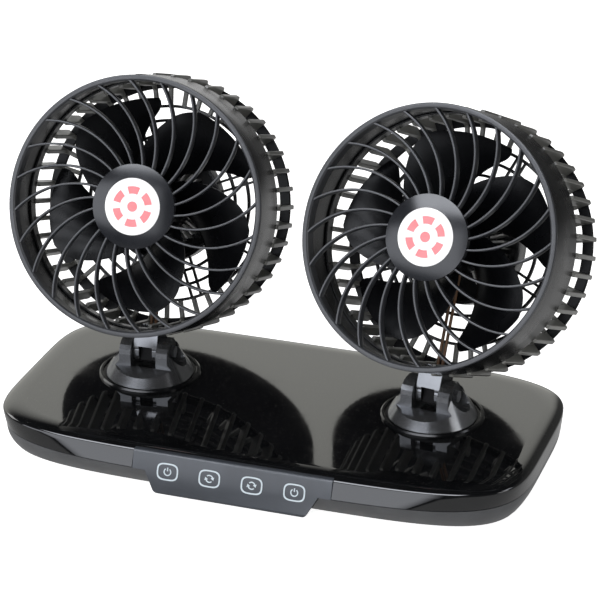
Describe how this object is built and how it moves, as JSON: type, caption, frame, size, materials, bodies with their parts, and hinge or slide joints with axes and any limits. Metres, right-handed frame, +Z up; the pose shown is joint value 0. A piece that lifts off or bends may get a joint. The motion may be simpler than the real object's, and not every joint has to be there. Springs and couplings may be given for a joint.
{
  "type": "dual-head car fan",
  "caption": "Dual-head dashboard fan: two caged fan heads that tilt and swivel on turrets over a low oblong base with a front touch panel.",
  "frame": {"origin": "middle of the grip pad's underside, under the middle of the base", "axes": "+Z up, -Y out of the front with the touch panel, +X to the right as seen from the front, along the base"},
  "size_m": [0.2911, 0.1567, 0.1845],
  "materials": {
    "deck_gloss": "piano-black gloss",
    "shell_satin": "satin black",
    "panel_satin": "satin grey-black",
    "icon_print": "pale print",
    "pad_rubber": "matt",
    "gland_rubber": "matt",
    "screw_steel": "plated",
    "board_green": "solder mask",
    "spring_brass": "plain",
    "lead_brown": "insulation",
    "turret_satin": "semi-gloss black",
    "grille_satin": "satin grey-black",
    "cap_gloss": "gloss black",
    "badge_white": "gloss white",
    "badge_coral": "coral print",
    "housing_satin": "semi-gloss black",
    "motor_steel": "plated",
    "magnet_dark": "ferrite",
    "winding_copper": "enamelled windings on a steel core",
    "blade_black": "gloss black"
  },
  "bodies": {
    "base": {"base_top": "deck_gloss", "base_bottom": "shell_satin", "base_screws": "screw_steel", "grip_pad": "pad_rubber", "cord_gland": "gland_rubber", "control_panel": "panel_satin", "key_icons": "icon_print", "touch_board": "board_green", "board_screws": "screw_steel", "touch_springs": "spring_brass", "base_leads": "lead_brown", "seat_ring_left": "turret_satin", "seat_ring_right": "turret_satin"},
    "turret_left": {"turret_left": "turret_satin", "swivel_retainer_left": "screw_steel", "retainer_screws_left": "screw_steel", "tilt_pin_left": "screw_steel", "tilt_nut_left": "screw_steel"},
    "head_left": {"front_grille_left": "grille_satin", "hub_cap_left": "cap_gloss", "hub_badge_left": "badge_white", "badge_print_left": "badge_coral", "band_left": "housing_satin", "rear_cage_left": "housing_satin", "motor_can_left": "motor_steel", "motor_bushes_left": "spring_brass", "motor_magnets_left": "magnet_dark", "motor_screws_left": "screw_steel", "motor_leads_left": "lead_brown"},
    "rotor_left": {"motor_shaft_left": "screw_steel", "armature_left": "winding_copper", "impeller_left": "blade_black", "impeller_nut_left": "screw_steel"},
    "turret_right": {"turret_right": "turret_satin", "swivel_retainer_right": "screw_steel", "retainer_screws_right": "screw_steel", "tilt_pin_right": "screw_steel", "tilt_nut_right": "screw_steel"},
    "head_right": {"front_grille_right": "grille_satin", "hub_cap_right": "cap_gloss", "hub_badge_right": "badge_white", "badge_print_right": "badge_coral", "band_right": "housing_satin", "rear_cage_right": "housing_satin", "motor_can_right": "motor_steel", "motor_bushes_right": "spring_brass", "motor_magnets_right": "magnet_dark", "motor_screws_right": "screw_steel", "motor_leads_right": "lead_brown"},
    "rotor_right": {"motor_shaft_right": "screw_steel", "armature_right": "winding_copper", "impeller_right": "blade_black", "impeller_nut_right": "screw_steel"}
  },
  "joints": [
    {"name": "left_swivel", "type": "hinge", "parent": "base", "child": "turret_left", "pos_m": [-0.0756, 0.009, 0.024], "axis": [0, 0, 1], "range_deg": [-93.6, 86.4]},
    {"name": "left_tilt", "type": "hinge", "parent": "turret_left", "child": "head_left", "pos_m": [-0.0756, 0.009, 0.037], "axis": [-0.998, -0.0628, 0], "range_deg": [-25.5, 29.5]},
    {"name": "left_spin", "type": "hinge", "parent": "head_left", "child": "rotor_left", "pos_m": [-0.07644, 0.02242, 0.11151], "axis": [0.0588, -0.9348, 0.3502], "continuous": true},
    {"name": "right_swivel", "type": "hinge", "parent": "base", "child": "turret_right", "pos_m": [0.0756, 0.009, 0.024], "axis": [0, 0, 1], "range_deg": [-82.9, 97.1]},
    {"name": "right_tilt", "type": "hinge", "parent": "turret_right", "child": "head_right", "pos_m": [0.0756, 0.009, 0.037], "axis": [-0.9923, 0.1236, 0], "range_deg": [-30, 25]},
    {"name": "right_spin", "type": "hinge", "parent": "head_right", "child": "rotor_right", "pos_m": [0.07798, 0.0281, 0.11023], "axis": [-0.112, -0.8994, 0.4226], "continuous": true}
  ]
}
